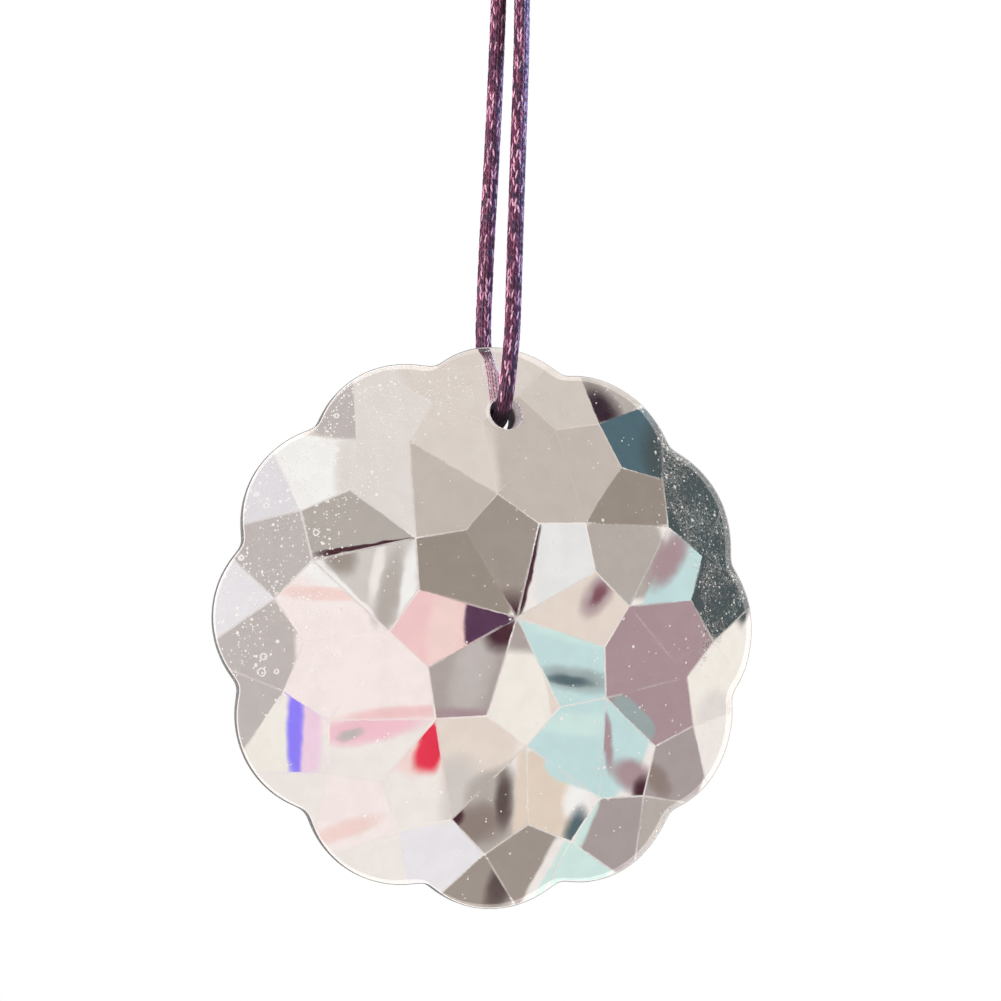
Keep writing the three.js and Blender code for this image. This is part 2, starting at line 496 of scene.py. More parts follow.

# %% [markdown]
# ## Cutting the front
#
# A constrained triangulation takes all these lines at once: the outline and a fine chamfer inside it,
# the hole and its chamfer, and every facet. It gives flat triangles, which are then laid back onto
# the cut. The normals are set one by one: over a facet they lean outwards by a trifle, because polishing
# leaves a facet slightly crowned, and in an eased edge they swing from one facet to the next.

# %% Triangulate the front
HOLE_RADIUS = 1.75
HOLE_HEIGHT = 21.7
HOLE_SIDES = 56
HOLE_CHAMFER = 0.13
RIM_CHAMFER = 0.15
CROWN = 0.008  # how much a facet's normal leans for each millimetre from the facet's middle


def circle(radius):
    turns = [2 * math.pi * i / HOLE_SIDES for i in range(HOLE_SIDES)]
    return [(radius * math.cos(t), HOLE_HEIGHT + radius * math.sin(t)) for t in turns]


def front_triangles():
    """Points and triangles of the front, seen flat from in front."""
    loops = [
        OUTLINE.tolist(),
        (OUTLINE - RIM_CHAMFER * OUTWARDS).tolist(),
        circle(HOLE_RADIUS),
        circle(HOLE_RADIUS + HOLE_CHAMFER),
        *FACETS,
    ]
    points, edges = [], []
    for loop_points in loops:
        first = len(points)
        count = len(loop_points)
        points += [Vector(p) for p in loop_points]
        edges += [(first + i, first + (i + 1) % count) for i in range(count)]
    result = delaunay_2d_cdt(points, edges, [], 0, 1e-5)
    points, triangles = [tuple(p) for p in result[0]], result[2]
    return points, [t for t in triangles if in_glass(np.mean([points[i] for i in t], axis=0))]


def in_glass(point):
    """Whether a point lies inside the outline and outside the hole."""
    if math.hypot(point[0], point[1] - HOLE_HEIGHT) < HOLE_RADIUS * 0.9999:
        return False
    x, z = point
    x0, z0 = OUTLINE[:, 0], OUTLINE[:, 1]
    x1, z1 = np.roll(x0, -1), np.roll(z0, -1)
    spans = (z0 > z) != (z1 > z)
    crossing = x0[spans] + (z - z0[spans]) * (x1[spans] - x0[spans]) / (z1[spans] - z0[spans])
    return bool((crossing > x).sum() % 2)


front_points, front_faces = front_triangles()
print("front:", len(front_points), "points,", len(front_faces), "triangles")

# %% [markdown]
# ## Which way the polish faces
#
# A flat triangle and a rounded edge differ only in their normals at this size, so the rounding is done
# there. Each facet's plane gives a normal, and near a border the normals of the two sides are mixed.


# %% Work out the normals of the front
def facet_middle(polygon):
    """The mean of the corners that lie on the glass or close to it."""
    corners = [corner for corner in polygon if math.hypot(*corner) < DISC_RADIUS + 2]
    return np.mean(corners or polygon, axis=0)


FACET_MIDDLES = np.array([facet_middle(polygon) for polygon in FACETS])
FACET_NORMALS = np.column_stack([PLANES[:, 0], -np.ones(len(PLANES)), PLANES[:, 1]])
FACET_NORMALS /= np.linalg.norm(FACET_NORMALS, axis=1)[:, None]


def border_distances(x, z):
    """The facet at a place, and how far its border with each other facet lies."""
    falls = PLANES[:, 0] * x + PLANES[:, 1] * z - PLANES[:, 2]
    top = int(falls.argmax())
    steepness = np.hypot(PLANES[top, 0] - PLANES[:, 0], PLANES[top, 1] - PLANES[:, 1])
    steepness[top] = 1
    return top, (falls[top] - falls) / steepness


def front_normal(x, z):
    """The polished surface's normal: crowned facets, and a swing from one to the next at each edge."""
    top, off = border_distances(x, z)
    share = np.clip((EDGE_HALF - off) / (2 * EDGE_HALF), 0, 0.5)
    share[top] = 0
    share[top] = max(0.0, 1 - share.sum())
    lean = np.column_stack([x - FACET_MIDDLES[:, 0], np.zeros(len(PLANES)), z - FACET_MIDDLES[:, 1]])
    normal = (share[:, None] * (FACET_NORMALS + CROWN * lean)).sum(axis=0)
    return normal / np.linalg.norm(normal)


def on_eased_edge(x, z):
    """Whether a place lies in the rounded band between two facets."""
    top, off = border_distances(x, z)
    return bool(np.delete(off, top).min() < EDGE_HALF)


def outline_distance(x, z):
    """Distance to the nearest point of the outline, and the way out of the glass there."""
    apart = np.hypot(OUTLINE[:, 0] - x, OUTLINE[:, 1] - z)
    nearest = int(apart.argmin())
    across = float((OUTLINE[nearest] - (x, z)) @ OUTWARDS[nearest])
    return abs(across), OUTWARDS[nearest]


# %% [markdown]
# ## Closing the glass
#
# The sides are extruded from the front's own border, so that every point is shared and the glass is
# watertight: down the girdle, in over the bevel, and across the flat back. The wall of the hole is
# left as the drill made it, and gets a ground finish of its own.

# %% Build the glass
GIRDLE_CHAMFER = 0.1
POLISHED, EASED, RIM, CLEAR, GROUND = range(5)  # the finishes, in the order of the material slots


def lay_front(mesh_maker):
    """The cut front; gives back the way the polish faces at each of its points."""
    used = sorted({i for face in front_faces for i in face})
    vertex = {}
    facing = {}
    for i in used:
        x, z = front_points[i]
        y = FRONT_Y + fall(x, z)
        normal = front_normal(x, z)
        off_hole = math.hypot(x, z - HOLE_HEIGHT) - HOLE_RADIUS
        off_rim, outwards = outline_distance(x, z)
        if off_hole < HOLE_CHAMFER / 2:
            y += HOLE_CHAMFER * 0.8
        elif off_rim < RIM_CHAMFER / 2:
            y += GIRDLE_CHAMFER
            normal = np.array([outwards[0], -0.35, outwards[1]])
        vertex[i] = mesh_maker.verts.new((x, y, z))
        facing[vertex[i]] = normal / np.linalg.norm(normal)
    for a, b, c in front_faces:
        face = mesh_maker.faces.new([vertex[i] for i in (a, b, c)])
        face.normal_update()
        if face.normal.y > 0:
            face.normal_flip()
        ring = [math.hypot(v.co.x, v.co.z - HOLE_HEIGHT) for v in face.verts]
        middle = face.calc_center_median()
        if max(ring) < HOLE_RADIUS + HOLE_CHAMFER * 1.05:
            face.material_index = GROUND
        elif outline_distance(middle.x, middle.z)[0] < RIM_CHAMFER:
            face.material_index = RIM
        elif on_eased_edge(middle.x, middle.z):
            face.material_index = EASED
        else:
            face.material_index = POLISHED
    return facing


def close_glass(mesh_maker):
    """The girdle, the bevel, the wall of the hole and the flat back."""
    border = [e for e in mesh_maker.edges if len(e.link_faces) == 1]
    rims = list(dict.fromkeys(v for e in border for v in e.verts))
    hole_rim = {v for v in rims if math.hypot(v.co.x, v.co.z - HOLE_HEIGHT) < HOLE_RADIUS * 1.2}

    def lower(vertices, y, inwards):
        copies = {}
        for v in vertices:
            if v in hole_rim:
                out = -np.array([v.co.x, v.co.z - HOLE_HEIGHT]) / HOLE_RADIUS
            else:
                out = outline_distance(v.co.x, v.co.z)[1]
            copies[v] = mesh_maker.verts.new((v.co.x - out[0] * inwards, y, v.co.z - out[1] * inwards))
        return copies

    wall = lower(rims, BACK_Y - BACK_BEVEL, 0)
    back = lower([v for v in rims if v not in hole_rim], BACK_Y, BACK_BEVEL)
    for v in rims:
        if v in hole_rim:
            back[v] = mesh_maker.verts.new((v.co.x, BACK_Y, v.co.z))
    back_edges = []
    for e in border:
        a, b = e.verts
        face = e.link_faces[0]
        order = [loop.vert for loop in face.loops]
        if order[(order.index(a) + 1) % len(order)] == b:
            a, b = b, a
        on_hole = a in hole_rim
        sides = [
            mesh_maker.faces.new((a, b, wall[b], wall[a])),
            mesh_maker.faces.new((wall[a], wall[b], back[b], back[a])),
        ]
        for face in sides:
            face.material_index = GROUND if on_hole else RIM
        back_edges.append(mesh_maker.edges.get((back[a], back[b])))
    filled = bmesh.ops.triangle_fill(mesh_maker, use_beauty=True, use_dissolve=False, edges=back_edges)
    for face in filled["geom"]:
        if isinstance(face, bmesh.types.BMFace):
            face.material_index = CLEAR
            face.normal_update()
            if face.normal.y < 0:
                face.normal_flip()


# %% Set the glass in its place
def crystal_mesh():
    """The closed glass in its place, with a normal stored for each corner of each face."""
    mesh_maker = bmesh.new()
    facing = lay_front(mesh_maker)
    close_glass(mesh_maker)
    open_edges = [e for e in mesh_maker.edges if len(e.link_faces) != 2]
    print("open edges in the glass:", len(open_edges))
    print("volume:", round(mesh_maker.calc_volume() / 1000, 2), "ml")
    normals = []
    mesh_maker.verts.index_update()
    mesh_maker.faces.index_update()
    for face in mesh_maker.faces:
        face.smooth = True
        face.normal_update()
        flat = np.array(face.normal)
        on_front = all(v in facing for v in face.verts)
        on_back = abs(flat[1]) > 0.99 and not on_front
        for loop in face.loops:
            v = loop.vert
            if on_front:
                normals.append(facing[v])
            elif on_back or face.material_index == GROUND:
                normals.append(flat)
            else:
                out = outline_distance(v.co.x, v.co.z)[1]
                normal = np.array([out[0], 1.0 if flat[1] > 0.2 else 0.0, out[1]])
                normals.append(normal / np.linalg.norm(normal))
    mesh = bpy.data.meshes.new("crystal_disc")
    mesh_maker.to_mesh(mesh)
    mesh_maker.free()
    mesh.transform(Matrix.Translation((DISC_X, 0, DISC_Z)) @ Matrix.Scale(MM, 4))
    mesh.normals_split_custom_set([tuple(n) for n in normals])
    return mesh


crystal = bpy.data.objects.new("crystal_disc", crystal_mesh())
bpy.context.collection.objects.link(crystal)
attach(crystal, "root")
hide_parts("crystal")
print("crystal:", len(crystal.data.polygons), "faces")

# %% [markdown]
# ## Small helpers for materials
#
# A material is a tree of nodes. Two short helpers keep the cells below easy to read: one places a node
# and fills or links its inputs, and one makes a group, which is an effect that several materials share.


# %% Node helpers
def fill_inputs(tree, made, inputs):
    """Give a node its inputs; each is a plain value or another node's output."""
    for key, value in inputs.items():
        if isinstance(value, bpy.types.NodeSocket):
            tree.links.new(value, made.inputs[key])
        else:
            made.inputs[key].default_value = value


def node(tree, kind, inputs=None, **settings):
    """Place a node with its settings and its inputs."""
    made = tree.nodes.new(kind)
    for key, value in settings.items():
        setattr(made, key, value)
    fill_inputs(tree, made, inputs or {})
    return made


def noise(tree, place, scale, detail):
    """The value of a plain Noise texture."""
    inputs = {"Vector": place, "Scale": scale, "Detail": detail}
    return node(tree, "ShaderNodeTexNoise", inputs).outputs["Fac"]


def sum_of(tree, operation, first, second=0.0, third=0.0):
    """The result of a Math node."""
    return node(tree, "ShaderNodeMath", {0: first, 1: second, 2: third}, operation=operation).outputs[0]


def ramp(tree, value, low, high, low_to=0.0, high_to=1.0):
    """A value eased from one range to another."""
    limits = {"Value": value, "From Min": low, "From Max": high, "To Min": low_to, "To Max": high_to}
    return node(tree, "ShaderNodeMapRange", limits, interpolation_type="SMOOTHSTEP").outputs[0]


def blend_colours(tree, share, first, second):
    """The first colour, or the second where the share is 1."""
    mix = node(tree, "ShaderNodeMix", {"Factor": share, 6: first, 7: second}, data_type="RGBA")
    return mix.outputs[2]


def new_group(name, inputs, outputs):
    """A node group with named sockets, and its input and output nodes."""
    group = bpy.data.node_groups.new(name, "ShaderNodeTree")
    for label, kind in inputs.items():
        group.interface.new_socket(label, in_out="INPUT", socket_type=f"NodeSocket{kind}")
    for label, kind in outputs.items():
        group.interface.new_socket(label, in_out="OUTPUT", socket_type=f"NodeSocket{kind}")
    return group, group.nodes.new("NodeGroupInput").outputs, group.nodes.new("NodeGroupOutput").inputs


def place_group(tree, group, inputs):
    """The outputs of a group, placed and with its inputs filled."""
    return node(tree, "ShaderNodeGroup", inputs, node_tree=group).outputs


def new_material(name):
    """An empty material with its Principled shader wired to the output."""
    material = bpy.data.materials.new(name)
    material.use_nodes = True
    tree = material.node_tree
    return material, tree, tree.nodes["Principled BSDF"]


def colour(red, green, blue):
    """A colour given as a screen shows it, from 0 to 255, in the linear values that nodes take."""
    return [((c / 255 + 0.055) / 1.055) ** 2.4 if c > 10 else c / 3294 for c in (red, green, blue)] + [1.0]


# %% [markdown]
# ## Dust and dried drops
#
# A suncatcher hangs for months, so fine dust sits on the glass, and drops have dried on it in faint
# rings. Both are cells of a Voronoi texture: a speck is the middle of a cell, and a ring lies at an
# equal distance from it. A second random value per cell leaves most cells empty.


# %% Make the dust groups
def make_speck_group():
    group, given, result = new_group(
        "dust specks",
        {"Vector": "Vector", "Scale": "Float", "Amount": "Float", "Size": "Float"},
        {"Mask": "Float"},
    )
    cells = node(group, "ShaderNodeTexVoronoi", {"Vector": given["Vector"], "Scale": given["Scale"]})
    chance = node(group, "ShaderNodeSeparateColor", {"Color": cells.outputs["Color"]})
    reach = sum_of(group, "MULTIPLY", given["Size"], chance.outputs["Green"])
    near = sum_of(group, "LESS_THAN", cells.outputs["Distance"], reach)
    kept = sum_of(group, "LESS_THAN", chance.outputs["Red"], given["Amount"])
    group.links.new(sum_of(group, "MULTIPLY", near, kept), result["Mask"])
    return group


def make_ring_group():
    group, given, result = new_group(
        "dried drops", {"Vector": "Vector", "Scale": "Float", "Amount": "Float"}, {"Mask": "Float"}
    )
    cells = node(group, "ShaderNodeTexVoronoi", {"Vector": given["Vector"], "Scale": given["Scale"]})
    chance = node(group, "ShaderNodeSeparateColor", {"Color": cells.outputs["Color"]})
    radius = ramp(group, chance.outputs["Green"], 0.0, 1.0, 0.12, 0.36)
    off = sum_of(group, "ABSOLUTE", sum_of(group, "SUBTRACT", cells.outputs["Distance"], radius))
    ring = ramp(group, off, 0.0, 0.09, 1.0, 0.0)
    kept = sum_of(group, "LESS_THAN", chance.outputs["Red"], given["Amount"])
    group.links.new(sum_of(group, "MULTIPLY", ring, kept), result["Mask"])
    return group


def make_frost_group():
    """Short pale strokes, close together, as fine wiping marks and dust leave them."""
    group, given, result = new_group(
        "frost", {"Vector": "Vector", "Scale": "Float", "Amount": "Float"}, {"Mask": "Float"}
    )
    broken = {"Detail": 5.0, "Roughness": 0.75, "Distortion": 1.2}
    bent = node(
        group, "ShaderNodeTexNoise", {"Vector": given["Vector"], "Scale": given["Scale"], **broken}
    )
    floor = sum_of(group, "SUBTRACT", 0.72, sum_of(group, "MULTIPLY", given["Amount"], 0.17))
    strokes = sum_of(group, "GREATER_THAN", bent.outputs["Fac"], floor)
    group.links.new(strokes, result["Mask"])
    return group


dust_specks = make_speck_group()
dried_drops = make_ring_group()
frost = make_frost_group()
print("groups:", [group.name for group in bpy.data.node_groups])

# %% [markdown]
# ## The polished facets
#
# The cut side carries a thin bright coating, which makes each facet a half mirror: it sends back
# rather more than half of the light, and lets the rest through the glass. A Principled shader does
# both at once, with its metallic share for the coating and full transmission for the glass behind it.
# Polishing leaves faint waves, and dust gathers towards the rim, so roughness and normal vary.
# The dust specks and dried rings get a faint painted glow, which stands in for light from the glass below.

# %% Make the facet material
GLASS = {"Transmission Weight": 1.0, "IOR": 1.52}
COATED_GLASS = {**GLASS, "Metallic": 0.58}


def disc_place(tree):
    """Millimetres from the disc's middle, as a vector."""
    place = node(tree, "ShaderNodeTexCoord").outputs["Object"]
    moved = node(tree, "ShaderNodeVectorMath", {0: place, 1: (-DISC_X, 0, -DISC_Z)}, operation="ADD")
    in_mm = node(tree, "ShaderNodeVectorMath", {0: moved.outputs[0], "Scale": 1000.0}, operation="SCALE")
    return in_mm.outputs[0]


def dusty_places(tree, place):
    """Where dust lies thick: the left side, the upper left and the upper right, in patches."""
    axis = node(tree, "ShaderNodeSeparateXYZ", {0: place})
    x, z = axis.outputs["X"], axis.outputs["Z"]
    left = sum_of(tree, "MULTIPLY", ramp(tree, x, -16.0, -20.0), ramp(tree, z, -9.0, -5.0))
    radius = node(tree, "ShaderNodeVectorMath", {0: place}, operation="LENGTH").outputs["Value"]
    above_slant = ramp(tree, sum_of(tree, "MULTIPLY_ADD", x, -1.26, z), -32.8, -32.2)
    right = sum_of(tree, "MULTIPLY", ramp(tree, x, 16.5, 18.5), above_slant)
    right = sum_of(tree, "MULTIPLY", right, ramp(tree, radius, 21.6, 22.8))
    upper_left = ramp(tree, sum_of(tree, "SUBTRACT", z, x), 24.0, 31.0)
    return left, right, sum_of(tree, "MAXIMUM", left, upper_left)


def make_facet_material():
    """The half-mirror facets: a faintly cloudy coat with dust, dried drops and frost on it, and a painted
    glow on the dust.
    """
    material, tree, shader = new_material("coated facets")
    place = disc_place(tree)
    left, right, upper_left = dusty_places(tree, place)
    patchy = noise(tree, place, 0.3, 3.0)
    dusty = sum_of(tree, "MAXIMUM", upper_left, right)
    thick = sum_of(tree, "MULTIPLY", dusty, ramp(tree, patchy, 0.3, 0.62))
    amount = sum_of(tree, "MULTIPLY_ADD", thick, 0.75, 0.03)
    speckled = {"Vector": place, "Amount": amount}
    coarse, fine = (
        place_group(tree, dust_specks, {**speckled, "Scale": scale, "Size": size})["Mask"]
        for scale, size in ((1.5, 0.30), (3.4, 0.40))
    )
    few = sum_of(tree, "MULTIPLY", left, 0.25)
    rings = place_group(tree, dried_drops, {"Vector": place, "Scale": 0.85, "Amount": few})["Mask"]
    frosted = sum_of(tree, "MULTIPLY", right, ramp(tree, patchy, 0.25, 0.6, 0.35, 1.0))
    strokes = place_group(tree, frost, {"Vector": place, "Scale": 3.4, "Amount": frosted})["Mask"]
    specks = sum_of(tree, "MAXIMUM", coarse, fine)
    marks = sum_of(tree, "MAXIMUM", sum_of(tree, "MULTIPLY", rings, 0.8), strokes)
    dust = sum_of(tree, "MAXIMUM", specks, marks)
    cloudy = ramp(tree, noise(tree, place, 0.5, 7.0), 0.36, 0.64)
    coat = blend_colours(tree, cloudy, (0.912, 0.893, 0.884, 1), (0.945, 0.928, 0.918, 1))
    tint = blend_colours(tree, dust, coat, (0.99, 0.98, 0.97, 1))
    dull = blend_colours(tree, strokes, tint, (0.22, 0.26, 0.26, 1))
    # painted glow: the dust specks and dried rings get an emission colour, standing in for light from the
    # glass below
    pale = sum_of(tree, "MAXIMUM", specks, sum_of(tree, "MULTIPLY", rings, 0.7))
    lit = blend_colours(tree, pale, (0, 0, 0, 1), (0.95, 0.92, 0.91, 1))
    waves = sum_of(tree, "MULTIPLY", noise(tree, place, 0.22, 2.0), 0.012)
    height = sum_of(tree, "MULTIPLY_ADD", dust, 0.01, waves)
    bump = node(tree, "ShaderNodeBump", {"Height": height, "Distance": MM, "Strength": 0.6})
    fill_inputs(tree, shader, {
        **COATED_GLASS,
        "Base Color": dull,
        "Roughness": sum_of(tree, "MULTIPLY", dust, 0.5),
        "Normal": bump.outputs[0],
        "Emission Color": lit,
        "Emission Strength": 0.22,  # painted glow on the dust, standing in for light from the glass below
    })
    return material


# %% [markdown]
# ## Eased edges and the rim
#
# The polishing wheel only brushes the edges, so they keep a softer polish than the facets. It is worn
# unevenly: in some places an edge is a pale line, in others it is as clear as its neighbours. The rim
# is soft all round, and it gets a little painted glow, which stands in for the light that glass carries
# out to its edge.

# %% Make the edge material
HOLE_SURROUND = (2, 0, 16)  # round this place the edges are polished sharp


def make_edge_material(name, evenness, glow):
    """A rounded edge: a softer polish, which takes in light from all round, more in some places, and a
    painted glow of the given strength.
    """
    material, tree, shader = new_material(name)
    place = disc_place(tree)
    fine = noise(tree, place, 3.0, 2.0)
    worn = ramp(tree, noise(tree, place, 0.28, 1.0), 0.33, 0.5, evenness, 1.0)
    if evenness < 1:
        away = node(tree, "ShaderNodeVectorMath", {0: place, 1: HOLE_SURROUND}, operation="DISTANCE")
        worn = sum_of(tree, "MULTIPLY", worn, ramp(tree, away.outputs["Value"], 9, 14))
    soft = sum_of(tree, "MULTIPLY", worn, sum_of(tree, "MULTIPLY_ADD", fine, 0.15, 0.12))
    tint = blend_colours(tree, fine, (0.92, 0.89, 0.88, 1), (0.99, 0.97, 0.96, 1))
    bump = node(tree, "ShaderNodeBump", {"Height": fine, "Distance": 0.02 * MM, "Strength": 0.4})
    fill_inputs(tree, shader, {
        **COATED_GLASS,
        "Base Color": tint,
        "Roughness": soft,
        "Normal": bump.outputs[0],
        "Emission Color": (0.93, 0.92, 0.91, 1),
        "Emission Strength": glow,  # painted glow, standing in for light the glass carries out to its edge
    })
    return material


# %% [markdown]
# ## The back and the hole
#
# The back is bare clear glass. The wall of the hole is ground: its grain scatters the light and hides
# what lies behind it. Its colour carries painted shade, pale near the front, where light gets in, and
# dark further back, and it has a painted glow.


# %% Make the back and hole materials
def make_clear_material():
    """The uncoated back: plain clear glass with a few specks on it."""
    material, tree, shader = new_material("clear glass")
    place = disc_place(tree)
    sparse = {"Vector": place, "Scale": 1.2, "Amount": 0.08, "Size": 0.2}
    specks = place_group(tree, dust_specks, sparse)["Mask"]
    fill_inputs(tree, shader, {
        **GLASS,
        "Base Color": blend_colours(tree, specks, (0.985, 0.99, 0.985, 1), (0.9, 0.89, 0.88, 1)),
        "Roughness": sum_of(tree, "MULTIPLY", specks, 0.5),
    })
    return material


HOLE_SHADE_DEPTHS = (0.1, 1.2)  # millimetres; between these the painted shade on the hole's wall passes from pale to dark


def make_ground_material():
    """The drilled wall of the hole: pale and matt, with the drill's fine marks round it, painted shade
    further in and a painted glow.
    """
    material, tree, shader = new_material("ground glass")
    place = disc_place(tree)
    grain = noise(tree, place, 9.0, 4.0)
    drilled = {"Vector": place, "Scale": 4.0, "Distortion": 2.0}
    marks = node(tree, "ShaderNodeTexWave", drilled, bands_direction="Y")
    tint = blend_colours(tree, ramp(tree, grain, 0.42, 0.58), (0.42, 0.26, 0.29, 1), (0.97, 0.95, 0.95, 1))
    depth = node(tree, "ShaderNodeSeparateXYZ", {0: place}).outputs[1]
    unshaded_near_front = ramp(tree, depth, *HOLE_SHADE_DEPTHS, 1.0, 0.0)
    # painted shade: the wall darkens to near black further into the hole
    tint = blend_colours(tree, unshaded_near_front, (0.05, 0.04, 0.045, 1), tint)
    height = sum_of(tree, "MULTIPLY_ADD", marks.outputs["Fac"], 0.3, grain)
    bump = node(tree, "ShaderNodeBump", {"Height": height, "Distance": 0.05 * MM, "Strength": 0.6})
    fill_inputs(tree, shader, {
        **GLASS,
        "Transmission Weight": 0.3,
        "Base Color": tint,
        "Roughness": ramp(tree, grain, 0.3, 0.7, 0.25, 0.5),
        "Normal": bump.outputs[0],
        "Emission Color": tint,
        "Emission Strength": 0.34,  # painted glow in the wall's colour, standing in for light that comes through the glass behind it
    })
    return material


# %% Put the finishes on the glass
finishes = [
    make_facet_material(),
    make_edge_material("eased edges", 0.0, 0.0),
    # the rim gets a painted glow of 0.2; the eased edges get none
    make_edge_material("polished rim", 1.0, 0.2),
    make_clear_material(),
    make_ground_material(),
]
for material in finishes:
    crystal.data.materials.append(material)
print("glass finishes:", [m.name for m in crystal.data.materials])

# %% [markdown]
# ## Satin thread
#
# The threads are bundles of smooth filaments, dark plum with a pink shine. The shine breaks up into
# short glints, because each stitch lies at its own angle, and no two threads took the dye alike; here
# the glints are painted highlights in the colour. The braid group works out, from the same sums that
# shaped the tube, which thread lies on top at each place, how near its crown the place is, and a random
# value for each stitch. Then colour can follow the stitches exactly: painted shade in the grooves, plum
# on the threads and a painted pink highlight on the stitches that shine.


# %% Make the braid group
def make_braid_group():
    """Which thread is on top, how near its crown the place is, and two random values for each stitch."""
    group, given, result = new_group(
        "braid", {"Vector": "Vector", "Threads": "Float", "Widths per Turn": "Float"},
        {"Crown": "Float", "Chance": "Float", "Other Chance": "Float"},
    )
    axis = node(group, "ShaderNodeSeparateXYZ", {0: given["Vector"]}).outputs
    climb = sum_of(group, "DIVIDE", axis["Y"], given["Widths per Turn"])
    over = sum_of(group, "COSINE", sum_of(group, "MULTIPLY", axis["X"], THREADS_EACH_WAY * math.pi))
    crowns, counts = [], []
    for way in ("ADD", "SUBTRACT"):
        count = sum_of(group, "MULTIPLY", sum_of(group, way, axis["X"], climb), given["Threads"])
        across = sum_of(group, "MULTIPLY_ADD", sum_of(group, "FLOORED_MODULO", count, 1.0), 2.0, -1.0)
        square = sum_of(group, "MULTIPLY", sum_of(group, "MULTIPLY", across, across), -0.9)
        round_top = sum_of(group, "SQRT", sum_of(group, "ADD", square, 1.0))
        lift = sum_of(group, "MULTIPLY", over, THREAD_LIFT / THREAD_ROUNDNESS * (1 if way == "ADD" else -1))
        crowns.append(sum_of(group, "ADD", round_top, lift))
        counts.append(sum_of(group, "FLOOR", count))
    first_on_top = sum_of(group, "GREATER_THAN", crowns[0], crowns[1])
    column = sum_of(group, "ROUND", sum_of(group, "MULTIPLY", axis["X"], float(THREADS_EACH_WAY)))
    thread = node(group, "ShaderNodeMix", {0: first_on_top, 2: counts[1], 3: counts[0]}).outputs[0]
    stitch = node(group, "ShaderNodeCombineXYZ", {"X": thread, "Y": column, "Z": first_on_top}).outputs[0]
    random = node(group, "ShaderNodeTexWhiteNoise", {"Vector": stitch}, noise_dimensions="3D")
    split = node(group, "ShaderNodeSeparateColor", {"Color": random.outputs["Color"]})
    group.links.new(sum_of(group, "MAXIMUM", crowns[0], crowns[1]), result["Crown"])
    group.links.new(split.outputs["Red"], result["Chance"])
    group.links.new(split.outputs["Green"], result["Other Chance"])
    return group


def make_filament_group():
    """The fine lengthwise streaks of a thread's filaments."""
    group, given, result = new_group(
        "filaments", {"Vector": "Vector", "Round": "Float", "Along": "Float"}, {"Fine": "Float"}
    )
    axis = node(group, "ShaderNodeSeparateXYZ", {0: given["Vector"]})
    across = sum_of(group, "MULTIPLY", axis.outputs["X"], given["Round"])
    along = sum_of(group, "MULTIPLY", axis.outputs["Y"], given["Along"])
    drawn = node(group, "ShaderNodeCombineXYZ", {"X": across, "Y": along})
    fine = node(group, "ShaderNodeTexNoise", {"Vector": drawn.outputs[0], "Scale": 4.0, "Detail": 3.0})
    group.links.new(fine.outputs["Fac"], result["Fine"])
    return group


braid = make_braid_group()
filaments = make_filament_group()

# %% [markdown]
# ## Dyeing the thread
#
# Base colours are dark, because satin is mostly shine. Each stitch draws its colour between two plums,
# one in five is cooled towards slate, and the brightest get a painted pink glint, a painted highlight, on
# their crowns only. The grooves and the cord inside the hole get painted shade.

# %% Make the satin material
PAINTED_SHADE_DARK = (0.006, 0.002, 0.006, 1)
THREAD_DARK = (0.030, 0.008, 0.022, 1)
THREAD_PLUM = (0.140, 0.030, 0.072, 1)
PAINTED_GLINT_PINK = (0.700, 0.440, 0.530, 1)
THREAD_BLUE = (0.028, 0.032, 0.060, 1)


def make_satin_material():
    """Dyed thread with painted glints, painted shade in its grooves and in the hole, and painted light where
    it faces the glass.
    """
    material, tree, shader = new_material("satin thread")
    place = node(tree, "ShaderNodeUVMap", uv_map="along_cord").outputs["UV"]
    lay = {"Threads": float(THREADS_EACH_WAY), "Widths per Turn": BRAID_PITCH / CORD_DIAMETER}
    weave = place_group(tree, braid, {"Vector": place, **lay})
    thread = place_group(tree, filaments, {"Vector": place, "Round": 30.0, "Along": 1.2})
    dyed = blend_colours(tree, ramp(tree, weave["Chance"], 0.1, 0.9), THREAD_DARK, THREAD_PLUM)
    cold = sum_of(tree, "MULTIPLY", sum_of(tree, "GREATER_THAN", weave["Other Chance"], 0.8), 0.6)
    dyed = blend_colours(tree, cold, dyed, THREAD_BLUE)
    # painted highlight: the brightest stitches get a pink glint on their crowns, painted into the base
    # colour
    chosen = ramp(tree, weave["Chance"], 0.58, 0.92)
    bright = sum_of(tree, "MULTIPLY", chosen, ramp(tree, weave["Crown"], 1.0, 1.5))
    glint = sum_of(tree, "MULTIPLY", bright, ramp(tree, thread["Fine"], 0.35, 0.6))
    with_painted_glint = blend_colours(tree, glint, dyed, PAINTED_GLINT_PINK)
    # painted shade: the grooves between the threads are darkened to near black
    groove_shaded = blend_colours(tree, ramp(tree, weave["Crown"], 0.8, 1.25), PAINTED_SHADE_DARK, with_painted_glint)
    shade = node(tree, "ShaderNodeAttribute", attribute_name="in_the_hole").outputs["Fac"]
    shaded = blend_colours(tree, shade, groove_shaded, PAINTED_SHADE_DARK)
    bump = node(tree, "ShaderNodeBump", {"Height": thread["Fine"], "Distance": 0.05 * MM, "Strength": 0.6})
    facing = node(tree, "ShaderNodeAttribute", attribute_name="facing_the_glass").outputs["Fac"]
    thrown = sum_of(tree, "MULTIPLY", facing, ramp(tree, weave["Crown"], 0.9, 1.5, 0.25, 1.0))
    fill_inputs(tree, shader, {
        "Base Color": shaded,
        "Roughness": ramp(tree, thread["Fine"], 0.3, 0.7, 0.3, 0.5),
        "Normal": bump.outputs[0],
        "Specular IOR Level": 0.25,
        "Specular Tint": (1.0, 0.72, 0.86, 1),
        "Emission Color": blend_colours(tree, thrown, (0, 0, 0, 1), (1.0, 0.66, 0.76, 1)),
        "Emission Strength": 0.9,
    })
    return material


